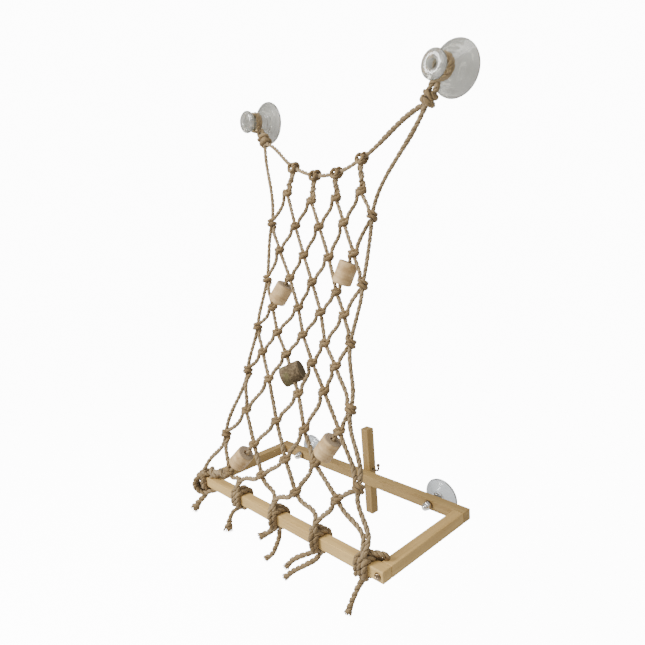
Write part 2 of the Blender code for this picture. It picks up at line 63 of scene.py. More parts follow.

# Net, as in the CAD
NET_FOOT = (-123.5, 11.5)
NET_HEAD = (-18.2, 345.0)
NET_SAG = 3.0
FRONT_AXIS_Y = -121.0
RAIL_HALF = 5.0
HEAD_KNOTS = [(-50, 312), (-17, 301), (12, 300), (41, 309)]
NET_ROWS = [
    [(-55, 288), (-18, 278), (15, 278), (45, 281)],
    [(-72, 260), (-36, 256), (-2, 254), (29, 256), (60, 260)],
    [(-55, 234), (-18, 229), (16, 227), (46, 230)],
    [(-67, 206), (-33, 208), (-1, 205), (32, 198), (60, 205)],
    [(-53, 180), (-15, 182), (16, 180), (45, 180)],
    [(-71, 160), (-40, 158), (-3, 159), (27, 155), (56, 158)],
    [(-58, 138), (-22, 140), (15, 137), (44, 138)],
    [(-76, 118), (-42, 115), (3, 109), (35, 116), (67, 108)],
    [(-69, 81), (-21, 81), (18, 81), (60, 89)],
    [(-95, 53), (-48, 54), (0, 52), (38, 58), (88, 53)],
    [(-80, 20), (-29, 31), (20, 30), (69, 39)],
]
HITCH_X = [-118, -60, -4, 51, 105]
CUP_X = 117.5
CUP_Z = 366.0
NECK_Y = -18.0
NECK_R = 6.5
LASHING_X = 104.0
LASHING_Z = 345.0
KNOT_TURN_R = 3.2
KNOT_APPROACH = 8.2  # how far from its knot a rope's own line ends
FIRST_WRAP = 35  # degrees past the side on which a rope reaches its knot
LEFT_FOOT = [(-96, -122.2, 15.5), (-108, -120.8, 12.6)]
BUNDLE_LAY = 21.0
NECK_HALF_WIND = 295  # degrees of rope round a neck, on each side of the lashing
WRAP_SWELL = 1.3
WRAP_PITCH = 4.1

# Loose tails, with the routes that the CAD tubes follow
TAILS = {
    "tail_left_corner": [
        (-121, -124, -11), (-123, -128, -17), (-126.6, -133.6, -23), (-129, -136.6, -28)],
    "tail_1": [(-64, -123.5, -11), (-67.4, -128.6, -14.8), (-69, -132.4, -21.5), (-69.6, -134.8, -30)],
    "tail_2_short": [(-6.8, -123.2, -11.2), (-11, -129, -15), (-15.7, -134.4, -18)],
    "tail_2_long": [
        (-1.6, -122.4, -11), (-1.2, -124.2, -17.6), (-2.6, -127.4, -25.4),
        (-4.6, -130.2, -32), (-10.2, -134.2, -37.6)],
    "tail_3_short": [
        (48, -123.2, -11.2), (43.6, -128, -13.2), (37.6, -132.8, -15.8),
        (32, -137, -20), (27.4, -140.2, -26)],
    "tail_3_long": [
        (53.2, -122, -10.6), (50.4, -126, -16), (43.6, -130.6, -21.6),
        (36, -135, -27), (29.4, -138.8, -32.4), (25.6, -140.6, -36.6)],
    "tail_right_corner": [
        (102.6, -122.6, -11), (100.6, -126.4, -15.6), (98.6, -129.6, -22),
        (96.6, -132.6, -29.4), (94.6, -135, -38)],
}
TAIL_SHAPES = {  # thickness, how much more at the end, and the reach of the brush of fibres there
    "tail_left_corner": (1.55, 0.75, 3.0),
    "tail_1": (1.2, 0.85, 3.0),
    "tail_2_short": (1.45, 0.15, 1.5),
    "tail_2_long": (1.26, 0.0, 1.0),
    "tail_3_short": (1.26, 0.0, 1.0),
    "tail_3_long": (1.26, 0.0, 1.0),
    "tail_right_corner": (1.26, 0.1, 1.0),
}

# Cups, nuts and screws: (radius, y) profiles from the front to the wall side
UPPER_CUP = [
    (0.05, -20), (3, -20.4), (3.45, -22), (3.6, -29.8), (3.9, -30.6), (4.7, -31), (6.5, -31.2),
    (8.67, -31), (10.12, -30.4), (11.02, -29.4), (11.2, -28.3), (10.84, -27), (9.57, -25.4), (7.77, -23.9),
    (7.1, -22.6), (6.5, -21.2), (6.4, -18), (6.5, -14.8), (7.29, -13.2), (8.86, -11.9), (10, -11.4),
    (10.35, -10.4), (11.83, -9.4), (13.41, -8.9), (13.84, -7.9), (15.33, -6.4), (16.9, -5.9),
    (17.34, -4.9), (18.83, -3.3), (20.4, -2.8), (21.1, -2), (21.71, -1.4), (21.84, -0.7), (21.63, -0.1),
    (20.05, -0.02), (17.43, -0.3), (15.68, -1), (13.49, -1.6), (9.56, -2.4), (5, -3), (0.05, -3.2)]
LOWER_CUP_X = 88.4
LOWER_CUP = [
    (2.3, -7.2), (2.3, -9.6), (5.7, -9.7), (6.2, -9.3), (6.6, -8.4), (6.9, -6.8), (8.0, -5.7), (9.8, -5.0),
    (10.3, -4.3), (12.0, -3.4), (13.4, -2.9), (13.9, -2.2), (15.6, -1.6), (16.7, -1.2), (17.05, -0.6),
    (16.9, -0.05), (14.5, -0.02), (12.5, -0.4), (10.0, -1.1), (5.0, -1.6), (0.05, -1.8)]
NUT_REAR_Y = -21.4
NUT_HALF_FLATS = 3.5
DOME_NUT = [
    (0.05, -7.6), (0.8, -7.5), (1.6, -7.15), (2.3, -6.6), (2.8, -5.9), (3.1, -5.1), (3.2, -4.4), (3.2, -3.4),
    (3.5, -3.2), (3.8, -3.05), (4.1, -2.7), (4.2, -2.5), (4.2, -0.4), (4.0, -0.1), (3.8, 0.0), (0.05, 0.0)]
RECESS_HALF = 0.42
RECESS_REACH = 1.9
RECESS_DEPTH = 0.9
SCREW_HEAD_R = 2.8
SCREW_HEAD_HEIGHT = 2.0
SCREWS = [  # name, x, y of the head's seat, +1 when driven from the front, length
    ("front_left_screw", -120, -126.3, 1, 30),
    ("front_right_screw", 120, -126.3, 1, 30),
    ("rear_left_screw", -120, -9.7, -1, 30),
    ("rear_right_screw", 120, -9.7, -1, 30),
    ("brace_screw", 3, -20.3, 1, 17),
]
HOOK_ROD_R = 1.0
HOOK_BALL_R = 1.9
HOOK_BALL = (15.3, -4.8, 11.1)

# Beads
BEAD_HALF = 9.75
BEAD_R = 8.75
BEAD_HOLE_R = 2.35
LOG_R = 9.5
LOG_TURN = -25.0  # degrees that the bark log's axis is turned out of the net
# Each bead's name, and the (x, z) of the CAD strand at the knots above and below
BEAD_STRETCHES = [
    ("bead_upper_left", (-35.3, 208), (-50.7, 180)),
    ("bead_upper_right", (43.7, 230), (34.3, 198)),
    ("bead_bark", (-19.7, 140), (0.7, 109)),
    ("bead_lower_left", (-50.3, 54), (-77.7, 20)),
    ("bead_lower_right", (57.7, 89), (40.3, 58)),
]

# Camera
CAMERA_AT = (371.3, -390.5, 260.75)
CAMERA_YAW = 47.62
CAMERA_PITCH = 10.6
CAMERA_ROLL = -4.51
CAMERA_LENS = 30.77

# Light
BACKDROP_GLOW = 12.0
AMBIENT = 0.55
LIGHT_AIM = (0, -0.07, 0.16)  # metres, as the lights' own places are


# ---------------------------------------------------------------- paths

def smooth_path(points, step=PATH_STEP):
    """Even points along a smooth curve through a route, as an array."""
    route = np.array([tuple(p) for p in points], float)
    span = np.linalg.norm(np.diff(route, axis=0), axis=1)
    slope = np.diff(route, axis=0) / span[:, None]
    tangent = np.vstack([slope[0], slope[-1]])
    if len(route) > 2:
        before, after = span[:-1, None], span[1:, None]
        inner = (slope[:-1] * after + slope[1:] * before) / (before + after)
        tangent = np.vstack([slope[0], inner, slope[-1]])
    t = np.linspace(0, 1, 12, endpoint=False)[:, None]
    fine = []
    for i, length in enumerate(span):
        fine.append(route[i] * (1 + 2 * t) * (1 - t) ** 2 + tangent[i] * length * t * (1 - t) ** 2
                    + route[i + 1] * t ** 2 * (3 - 2 * t) + tangent[i + 1] * length * t ** 2 * (t - 1))
    fine = np.vstack([*fine, route[-1]])
    run = arc_lengths(fine)
    even = np.linspace(0, run[-1], max(3, round(run[-1] / step) + 1))
    return np.column_stack([np.interp(even, run, fine[:, i]) for i in range(3)])


def arc_lengths(path):
    return np.concatenate([[0], np.cumsum(np.linalg.norm(np.diff(path, axis=0), axis=1))])


def unit(vectors):
    return vectors / np.maximum(np.linalg.norm(vectors, axis=-1, keepdims=True), 1e-9)


def path_frames(path):
    """Tangent, normal and binormal along a path, carried along without twisting."""
    tangent = unit(np.gradient(path, axis=0))
    start = np.cross(tangent[0], (0.3, 0.5, 0.81))
    normal = np.empty_like(path)
    normal[0] = start / np.linalg.norm(start)
    for i in range(1, len(path)):
        step = normal[i - 1] - tangent[i] * normal[i - 1].dot(tangent[i])
        normal[i] = step / np.linalg.norm(step)
    return tangent, normal, np.cross(tangent, normal)


# ---------------------------------------------------------------- meshes

class Shell:
    """Points, faces and surface coordinates gathered for one mesh."""

    def __init__(self):
        self.points = []
        self.faces = []
        self.coords = []
        self.count = 0

    def add_grid(self, grid, coords, close_start=True, close_end=True):
        """A tube from rings of points; each end is closed with a fan round its middle."""
        rings, sides = grid.shape[:2]
        first = self.count
        self.points.append(grid.reshape(-1, 3))
        self.coords.append(coords.reshape(-1, 3))
        index = first + np.arange(rings * sides).reshape(rings, sides)
        a, b = index[:-1], index[1:]
        a_next, b_next = np.roll(a, -1, axis=1), np.roll(b, -1, axis=1)
        self.faces += np.stack([a, a_next, b_next, b], axis=-1).reshape(-1, 4).tolist()
        self.count += rings * sides
        for ring, row, closed in ((index[0], 0, close_start), (index[-1], -1, close_end)):
            if not closed:
                continue
            self.points.append(grid[row].mean(axis=0)[None])
            self.coords.append(coords[row].mean(axis=0)[None])
            order = ring[::-1] if row == 0 else ring
            self.faces += [[int(p), int(q), self.count] for p, q in zip(order, np.roll(order, -1))]
            self.count += 1

    def build(self, name, material):
        mesh = bpy.data.meshes.new(name)
        points = np.vstack(self.points) * MM
        mesh.from_pydata(points.tolist(), [], self.faces)
        coords = np.vstack(self.coords)
        layer = mesh.attributes.new("rope_coords", "FLOAT_VECTOR", "POINT")
        layer.data.foreach_set("vector", coords.ravel())
        mesh.shade_smooth()
        mesh.materials.append(material)
        obj = bpy.data.objects.new(name, mesh)
        bpy.context.scene.collection.objects.link(obj)
        return obj


def add_plies(shell, path, swell, seed, fray, shade):
    """Two plies twisted round the path. swell scales the rope, fray spreads the plies apart, shade gives the
    painted shade along it.
    """
    rng = np.random.default_rng(seed)
    tangent, normal, binormal = path_frames(path)
    run = arc_lengths(path)
    scale = ROPE_R * swell
    ring = np.linspace(0, TURN, PLY_SIDES, endpoint=False)
    wander = 0.25 * np.sin(run / 23 + rng.uniform(0, TURN))
    for ply in (0, 1):
        phase = TURN * run / LAY_LENGTH + math.pi * ply + wander + seed
        out = np.cos(phase)[:, None] * normal + np.sin(phase)[:, None] * binormal
        side = np.cos(phase)[:, None] * binormal - np.sin(phase)[:, None] * normal
        centre = path + out * (PLY_OFFSET * scale * fray)[:, None]
        plump = 1 + 0.07 * np.sin(run / 4.3 + rng.uniform(0, TURN)) + rng.normal(0, 0.012, len(path))
        yarn = 1 + 0.055 * np.sin(3 * ring[None] - 1.9 * run[:, None])
        width = (scale * plump)[:, None] * yarn
        grid = (centre[:, None]
                + out[:, None] * (np.cos(ring)[None] * width * PLY_OUT)[..., None]
                + side[:, None] * (np.sin(ring)[None] * width * PLY_SIDE)[..., None])
        coords = np.stack([np.broadcast_to(ring[None] + 7 * ply, width.shape),
                           np.broadcast_to(run[:, None], width.shape),
                           np.broadcast_to(shade[:, None], width.shape)], axis=-1)
        shell.add_grid(grid, coords)
    return tangent, normal, binormal, run, scale


def fibre_ring(centre, radius, sides, around, out):
    return centre + radius * (np.cos(sides)[:, None] * around + np.sin(sides)[:, None] * out)


def add_fibres(shell, path, frames, seed, longest):
    """Short loose fibres that stand off the rope's surface."""
    rng = np.random.default_rng(seed + 1000)
    tangent, normal, binormal, run, scale = frames
    count = int(run[-1] * FIBRES_PER_MM)
    sides = np.array([0, TURN / 3, 2 * TURN / 3])
    for _ in range(count):
        i = rng.integers(1, len(path) - 1)
        angle = rng.uniform(0, TURN)
        out = math.cos(angle) * normal[i] + math.sin(angle) * binormal[i]
        around = np.cross(tangent[i], out)
        lean = rng.choice((-1, 1)) * tangent[i] * rng.uniform(0.7, 1.6)
        first = out * rng.uniform(0.15, 0.5) + lean + around * rng.normal(0, 0.6)
        curl = out * rng.normal(0.1, 0.35) + around * rng.normal(0, 0.5)
        length = rng.uniform(1.2, longest)
        root = path[i] + out * scale[i] * 0.72
        thick = rng.uniform(0.035, 0.07)
        rings = []
        for part, share in ((0, 1.0), (0.5, 0.8), (1.0, 0.25)):
            centre = root + (first * part + curl * part ** 2) * length * 0.6
            rings.append(fibre_ring(centre, thick * share, sides, around, out))
        coords = np.full((3, 3, 3), (2.0, run[i], 0.0))
        coords[..., 1] += np.array([[0], [1], [2]])
        shell.add_grid(np.array(rings), coords)


def add_brush(shell, path, frames, seed, reach):
    """The unlaid end of a rope: coarse fibres that spread past its last point."""
    rng = np.random.default_rng(seed + 2000)
    tangent, normal, binormal, run, scale = frames
    sides = np.linspace(0, TURN, 5, endpoint=False)
    ahead, radius = tangent[-1], scale[-1]
    for _ in range(BRUSH_FIBRES):
        angle, share = rng.uniform(0, TURN), math.sqrt(rng.uniform(0, 1))
        out = math.cos(angle) * normal[-1] + math.sin(angle) * binormal[-1]
        around = np.cross(ahead, out)
        root = path[-1] + out * radius * 0.95 * share - ahead * 2.5
        length = reach * rng.uniform(0.75, 1.1) + 2.5
        thick = rng.uniform(0.16, 0.34)
        rings = []
        for part, width in ((0, 1.0), (0.5, 1.0), (0.9, 0.8), (1.0, 0.5)):
            bend = out * (share * 0.34 * part ** 2) + around * rng.normal(0, 0.05)
            centre = root + (ahead * part + bend) * length
            rings.append(fibre_ring(centre, thick * width, sides, around, out))
        # The third value, 0.35, darkens the brush with painted shade
        coords = np.full((4, 5, 3), (rng.uniform(0, 6), run[-1], 0.35))
        coords[..., 1] += np.array([[0], [2], [4], [5]])
        shell.add_grid(np.array(rings), coords)


def even_swell(path):
    return np.ones(len(path))


def no_shade(path):
    return np.zeros(len(path))


def add_rope(name, points, body, nodes=(), swell=even_swell, seed=0, fray=even_swell,
             longest=LONGEST_FIBRE, brush=0.0, shade=no_shade):
    """A rope piece along a route that rides on a body and stands for CAD nodes."""
    path = smooth_path(points)
    shell = Shell()
    frames = add_plies(shell, path, swell(path), seed, fray(path), shade(path))
    add_fibres(shell, path, frames, seed, longest)
    if brush:
        add_brush(shell, path, frames, seed, brush)
    rope = shell.build(name, JUTE)
    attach(rope, body)
    if nodes:
        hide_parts(*nodes)
    return rope, path


def add_piece(shell, name, material, body, nodes):
    """Turn a shell into a piece that rides on a body and stands for CAD nodes."""
    obj = shell.build(name, material)
    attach(obj, body)
    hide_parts(*nodes)


def turned(shell, profile, centre, shape=None):
    """Spin a (radius, y) profile, given from front to rear, about a line along Y through centre.

    shape(x, z, y) may move each point: it gives the point's new (x, z, y).
    """
    angles = np.linspace(0, TURN, 96, endpoint=False)
    radius, y = np.array(profile[::-1], float).T
    x = radius[:, None] * np.cos(angles)
    z = radius[:, None] * np.sin(angles)
    y = np.broadcast_to(y[:, None], x.shape)
    if shape:
        x, z, y = shape(x, z, y)
    shell.add_grid(np.stack([x, y, z], axis=-1) + np.array(centre), np.zeros((*x.shape, 3)))


def tube(shell, points, radii):
    """A round bar whose radius is given at each point."""
    path = np.array([tuple(p) for p in points], float)
    _, normal, binormal = path_frames(path)
    ring = np.linspace(0, TURN, 24, endpoint=False)
    reach = np.array(radii)[:, None, None]
    grid = path[:, None] + reach * (np.cos(ring)[None, :, None] * normal[:, None]
                                    + np.sin(ring)[None, :, None] * binormal[:, None])
    shell.add_grid(grid, np.zeros(grid.shape))


# ---------------------------------------------------------------- materials

class Nodes:
    """A Principled material and short calls that add and link its nodes."""

    def __init__(self, name, **inputs):
        self.material = bpy.data.materials.new(name)
        self.material.use_nodes = True
        self.tree = self.material.node_tree
        self.shader = self.tree.nodes["Principled BSDF"]
        for key, value in inputs.items():
            self.shader.inputs[key.replace("_", " ")].default_value = value

    def add(self, kind, links=None, **settings):
        node = self.tree.nodes.new(kind)
        for key, value in settings.items():
            setattr(node, key, value)
        for key, value in (links or {}).items():
            if isinstance(value, bpy.types.NodeSocket):
                self.tree.links.new(value, node.inputs[key])
            else:
                node.inputs[key].default_value = value
        return node

    def link(self, output, name):
        self.tree.links.new(output, self.shader.inputs[name])

    def noise(self, vector, scale, detail=4.0, roughness=0.55, distortion=0.0):
        links = {"Vector": vector, "Scale": scale, "Detail": detail, "Roughness": roughness,
                 "Distortion": distortion}
        return self.add("ShaderNodeTexNoise", links).outputs[0]

    def stretch(self, vector, scale, rotation=(0, 0, 0)):
        links = {"Vector": vector, "Scale": scale, "Rotation": rotation}
        return self.add("ShaderNodeMapping", links).outputs[0]

    def ramp(self, factor, stops):
        node = self.add("ShaderNodeValToRGB", {"Fac": factor})
        band = node.color_ramp
        while len(band.elements) < len(stops):
            band.elements.new(0.5)
        for element, (position, colour) in zip(band.elements, stops):
            element.position = position
            element.color = (*colour, 1.0)
        return node.outputs[0]

    def mix(self, factor, a, b, blend="MIX"):
        node = self.add("ShaderNodeMix", data_type="RGBA", blend_type=blend)
        for socket, value in ((node.inputs[0], factor), (node.inputs[6], a), (node.inputs[7], b)):
            if isinstance(value, bpy.types.NodeSocket):
                self.tree.links.new(value, socket)
            elif socket.type == "RGBA":
                socket.default_value = (*value, 1.0)
            else:
                socket.default_value = value
        return node.outputs[2]

    def maths(self, operation, a, b=0.0):
        return self.add("ShaderNodeMath", {0: a, 1: b}, operation=operation).outputs[0]

    def bump(self, height, strength, distance):
        node = self.add("ShaderNodeBump", {"Height": height, "Strength": strength, "Distance": distance})
        self.link(node.outputs[0], "Normal")


def jute_material():
    m = Nodes("jute", Roughness=0.82, Specular_IOR_Level=0.25, Sheen_Weight=0.2, Sheen_Roughness=0.5)
    coords = m.add("ShaderNodeAttribute", attribute_name="rope_coords").outputs["Vector"]
    painted_shade = m.add("ShaderNodeSeparateXYZ", {"Vector": coords}).outputs["Z"]
    place_in_net = m.add("ShaderNodeTexCoord").outputs["Object"]
    flat = m.stretch(coords, (1.0, 1.0, 0.0))
    strands = m.noise(m.stretch(flat, (1.9, 0.42, 1), rotation=(0, 0, 0.35)), 2.6, 5, 0.65)
    fine = m.noise(m.stretch(flat, (6.5, 0.9, 1), rotation=(0, 0, 0.2)), 3.0, 3, 0.6)
    patches = m.noise(place_in_net, 55, 3, 0.6)
    tone = m.maths("ADD", m.maths("MULTIPLY", strands, 0.62), m.maths("MULTIPLY", patches, 0.38))
    colour = m.ramp(tone, [(0.30, (0.085, 0.052, 0.022)), (0.45, (0.20, 0.135, 0.062)),
                           (0.57, (0.335, 0.24, 0.125)), (0.74, (0.56, 0.45, 0.28))])
    mottled = m.mix(m.maths("MULTIPLY", fine, 0.45), colour, (0.36, 0.265, 0.145))
    # Painted shade: where rope_coords' third value is high (at knots, on wraps, tails and brushes), the
    # colour is multiplied towards a dark brown
    m.link(m.mix(m.maths("MULTIPLY", painted_shade, 0.6), mottled, (0.78, 0.67, 0.46), "MULTIPLY"), "Base Color")
    m.bump(m.maths("ADD", strands, m.maths("MULTIPLY", fine, 0.6)), 0.55, 0.0004)
    return m.material


def wood_material(name, axis, pale, dark):
    """Bare sanded wood with its grain along one axis."""
    m = Nodes(name, Roughness=0.62, Specular_IOR_Level=0.3)
    coords = m.add("ShaderNodeTexCoord").outputs["Object"]
    along = [1.0, 1.0, 1.0]
    along[axis] = 0.045
    stretched = m.stretch(coords, along)
    bands = m.noise(stretched, 210, 4, 0.6, 0.6)
    fine = m.noise(stretched, 1300, 3, 0.7)
    broad = m.noise(m.stretch(coords, [0.3 if a == axis else 1.0 for a in range(3)]), 38, 2, 0.5)
    tone = m.maths("ADD", m.maths("MULTIPLY", bands, 0.6), m.maths("MULTIPLY", broad, 0.4))
    middle = [(p + d) / 2 for p, d in zip(pale, dark)]
    colour = m.ramp(tone, [(0.34, dark), (0.5, middle), (0.64, pale)])
    pores = m.ramp(fine, [(0.36, [d * 0.55 for d in dark]), (0.47, pale)])
    m.link(m.mix(0.28, colour, pores, "MULTIPLY"), "Base Color")
    m.bump(m.maths("ADD", fine, bands), 0.25, 0.0003)
    return m.material


def bead_material():
    """Pale wood: long grain on the side and growth rings on the ends, from bead_shell's coordinates."""
    m = Nodes("bead_wood", Roughness=0.55, Specular_IOR_Level=0.3)
    coords = m.add("ShaderNodeAttribute", attribute_name="rope_coords").outputs["Vector"]
    parts = m.add("ShaderNodeSeparateXYZ", {"Vector": coords}).outputs
    place_on_bead = m.add("ShaderNodeTexCoord").outputs["Object"]
    cloud = m.noise(place_on_bead, 140, 3, 0.6)
    grain = m.noise(m.stretch(coords, (0.6, 0.12, 0.0)), 3.0, 5, 0.7, 0.8)
    side_tone = m.maths("ADD", m.maths("MULTIPLY", grain, 0.35), m.maths("MULTIPLY", cloud, 0.65))
    side = m.ramp(side_tone, [(0.36, (0.38, 0.235, 0.10)), (0.5, (0.51, 0.34, 0.16)),
                              (0.64, (0.63, 0.45, 0.235))])
    wavy_radius = m.maths("ADD", m.maths("MULTIPLY", parts["X"], 4.2), m.maths("MULTIPLY", cloud, 7.0))
    rings = m.maths("SINE", wavy_radius)
    end = m.ramp(rings, [(0.0, (0.34, 0.25, 0.155)), (0.6, (0.44, 0.34, 0.22)), (1.0, (0.50, 0.39, 0.27))])
    m.link(m.mix(parts["Z"], side, end), "Base Color")
    m.bump(m.maths("ADD", cloud, grain), 0.35, 0.0005)
    return m.material


def bark_material():
    """Bark on the side, and sawn wood with a pale rim on the ends."""
    m = Nodes("bark_wood", Roughness=0.9, Specular_IOR_Level=0.15)
    coords = m.add("ShaderNodeAttribute", attribute_name="rope_coords").outputs["Vector"]
    parts = m.add("ShaderNodeSeparateXYZ", {"Vector": coords}).outputs
    place_on_bead = m.add("ShaderNodeTexCoord").outputs["Object"]
    lumps = m.noise(place_on_bead, 420, 6, 0.75, 0.4)
    spots = m.noise(place_on_bead, 1100, 3, 0.7)
    moss = m.noise(place_on_bead, 75, 2, 0.5)
    bark = m.ramp(lumps, [(0.38, (0.035, 0.025, 0.012)), (0.5, (0.11, 0.08, 0.042)),
                          (0.64, (0.24, 0.18, 0.105))])
    green = m.mix(m.ramp(moss, [(0.52, (0, 0, 0)), (0.68, (0.55, 0.55, 0.55))]), bark, (0.15, 0.15, 0.055))
    speckled = m.mix(m.maths("MULTIPLY", spots, 0.35), green, (0.24, 0.17, 0.11))
    end = m.ramp(parts["X"], [(0.0, (0.10, 0.075, 0.04)), (0.86, (0.12, 0.09, 0.05)),
                              (0.93, (0.42, 0.32, 0.2))])
    m.link(m.mix(parts["Z"], speckled, end), "Base Color")
    m.bump(m.maths("ADD", lumps, spots), 0.8, 0.0006)
    return m.material


def plastic_material(name, pale, edge, clearness):
    """Clear soft plastic, deeper in colour where it is seen edge on."""
    m = Nodes(name, IOR=1.42, Transmission_Weight=clearness, Specular_IOR_Level=0.6)
    coords = m.add("ShaderNodeTexCoord").outputs["Object"]
    haze = m.noise(coords, 90, 2, 0.5)
    facing = m.add("ShaderNodeLayerWeight", {"Blend": 0.45}).outputs["Facing"]
    tint = m.mix(m.ramp(facing, [(0.15, (0, 0, 0)), (0.85, (1, 1, 1))]), pale, edge)
    m.link(m.mix(m.maths("MULTIPLY", haze, 0.25), tint, edge), "Base Color")
    m.link(m.ramp(haze, [(0.3, (0.05, 0.05, 0.05)), (0.8, (0.16, 0.16, 0.16))]), "Roughness")
    m.bump(haze, 0.12, 0.001)
    return m.material


def metal_material(name, colour, roughness, scratch=0.12):
    """Metal whose roughness varies by scratch on each side."""
    m = Nodes(name, Base_Color=(*colour, 1.0), Metallic=1.0, Roughness=roughness)
    coords = m.add("ShaderNodeTexCoord").outputs["Object"]
    wear = m.noise(coords, 700, 4, 0.6)
    low, high = max(0.03, roughness - scratch), roughness + scratch
    m.link(m.ramp(wear, [(0.3, (low,) * 3), (0.75, (high,) * 3)]), "Roughness")
    m.bump(m.noise(coords, 2500, 2, 0.5), 0.05, 0.0001)
    return m.material


PALE = (0.70, 0.50, 0.205)
DARK = (0.50, 0.33, 0.12)
# Darker copies of PALE and DARK: painted shade for the rear rail, the left rail and the brace
PAINTED_SHADE_PALE = (0.47, 0.325, 0.125)
PAINTED_SHADE_DARK = (0.30, 0.19, 0.07)
JUTE = jute_material()
WOOD_FRONT = wood_material("wood_front", 0, PALE, DARK)
# The front and right rails get the lit wood colours; the rear rail, left rail and brace get the copies with
# painted shade
WOOD_REAR = wood_material("wood_rear_painted_shade", 0, PAINTED_SHADE_PALE, PAINTED_SHADE_DARK)
WOOD_LEFT = wood_material("wood_left_painted_shade", 1, PAINTED_SHADE_PALE, PAINTED_SHADE_DARK)
WOOD_RIGHT = wood_material("wood_right", 1, PALE, DARK)
WOOD_BRACE = wood_material("wood_brace_painted_shade", 2, PAINTED_SHADE_PALE, PAINTED_SHADE_DARK)
BEAD_WOOD = bead_material()
BARK = bark_material()
CLEAR = plastic_material("clear_pvc", (0.90, 0.88, 0.81), (0.22, 0.23, 0.17), 0.8)
CLEAR_BLUE = plastic_material("clear_pvc_blue", (0.90, 0.93, 0.94), (0.22, 0.27, 0.30), 0.85)
NICKEL = metal_material("nickel", (0.80, 0.78, 0.74), 0.14, 0.06)
ZINC = metal_material("zinc_steel", (0.25, 0.18, 0.11), 0.3)
DARK_STEEL = metal_material("dark_steel", (0.16, 0.12, 0.075), 0.45)


# ---------------------------------------------------------------- net

def net_point(x, z):
    foot_y, foot_z = NET_FOOT
    head_y, head_z = NET_HEAD
    t = (z - foot_z) / (head_z - foot_z)
    return Vector((x, foot_y + (head_y - foot_y) * t + NET_SAG * 4 * t * (1 - t), z))


def knot_spot(row, index):
    """Centre of a knot; row -1 is the head rope and the row after the last is the front rail."""
    if row < 0:
        return net_point(*HEAD_KNOTS[index])
    if row == len(NET_ROWS):
        return Vector((HITCH_X[index], -123.0, 10.5))
    return net_point(*NET_ROWS[row][index])


def knots_around(row, index):
    """The knots above left, above right, below left and below right of one."""
    left = index - 1 if len(NET_ROWS[row]) == 5 else index
    spots = []
    for other in (row - 1, row + 1):
        if other < 0:
            spots += [knot_spot(other, index)] * 2
        else:
            last = 3 if len(NET_ROWS[row]) == 5 else 4
            spots += [knot_spot(other, max(left, 0)), knot_spot(other, min(left + 1, last))]
    return spots


def through(before, knot, after):
    """A rope that runs straight through a knot's middle, between the knots before and after it."""
    arriving, leaving = (before - knot).normalized(), (after - knot).normalized()
    return [knot + arriving * 6.5, knot + arriving * 2.4, knot + leaving * 2.4, knot + leaving * 6.5]


def winding(before, knot, after, axis, turns, rise, seed):
    """A rope that arrives from before, winds round a line through the knot and leaves for after."""
    rng = random.Random(seed)
    arriving, leaving = (before - knot).normalized(), (after - knot).normalized()
    side = (arriving - axis * arriving.dot(axis)).normalized()
    front = side.cross(axis)
    if front.y > 0:
        front = -front
    points = [knot + arriving * KNOT_APPROACH]
    steps = round(turns * 9)
    last_angle = 360 * turns - FIRST_WRAP
    for i in range(steps + 1):
        share = i / steps
        angle = math.radians(FIRST_WRAP + (last_angle - FIRST_WRAP) * share)
        reach = KNOT_TURN_R * rng.uniform(0.93, 1.06)
        along = rise * (share - 0.5) + rng.uniform(-0.25, 0.25)
        points.append(knot + axis * along + (side * math.cos(angle) + front * math.sin(angle)) * reach)
    return points + [knot + leaving * KNOT_APPROACH]


def fold_over_head_rope(x, z, side):
    """Half of the hitch on the head rope: one leg goes up behind it, over, and down in front."""
    centre = net_point(x, z)
    up = (net_point(x, z + 1) - centre).normalized()
    out = Vector((1, 0, 0)).cross(up)

    def at(across, rise, front):
        return centre + Vector((across, 0, 0)) + up * rise + out * front

    half = [(1.2, -8.5, 0.9), (1.2, -5.0, 0.2), (1.8, -2.4, -2.6), (2.5, 0.6, -3.5), (2.8, 3.2, -1.8),
            (2.9, 3.4, 1.0), (3.1, 1.4, 3.2), (3.3, -1.6, 3.5), (2.2, -3.9, 3.5)]
    return [at(side * a, u, o) for a, u, o in half], at(0, -4.5, 3.7)


def twisted_pair(rope, side):
    """The stretch from the head rope to the first row, where a rope's two legs twist together."""
    (x0, z0), (x1, z1) = HEAD_KNOTS[rope], NET_ROWS[0][rope]
    start, end = net_point(x0, z0 - 9), net_point(x1, z1 + 6)
    points = []
    for i in range(1, 8):
        share = i / 8
        angle = TURN * share + (0 if side > 0 else math.pi)
        offset = Vector((math.cos(angle), -0.9 * math.sin(angle), 0.3 * math.sin(angle))) * 1.25
        points.append(start.lerp(end, share) + offset)
    return points


def leg_route(rope, side):
    """One leg from under the head rope to the front rail; it crosses its neighbours at the knots."""
    points = twisted_pair(rope, side)
    heading, index = side, rope
    for row, knots in enumerate(NET_ROWS):
        spot = knot_spot(row, index)
        upper_left, upper_right, lower_left, lower_right = knots_around(row, index)
        seed = 10 * row + index
        if len(knots) == 5 and index in (0, 4):
            heading = 1 if index == 0 else -1
            before, after = (upper_right, lower_right) if heading > 0 else (upper_left, lower_left)
            down = (net_point(spot.x, spot.z - 1) - spot).normalized()
            points += winding(before, spot - Vector((heading, 0, 0)), after, down, 2.0, 6.4, seed)
        elif heading > 0:
            points += through(upper_left, spot, lower_right)
        else:
            line = (lower_right - upper_left).normalized()
            points += winding(upper_right, spot, lower_left, line, 1.5, -4.0, seed)
        if len(knots) == 4:
            index += heading > 0
        else:
            index -= heading < 0
    return points + foot_points(index, heading)


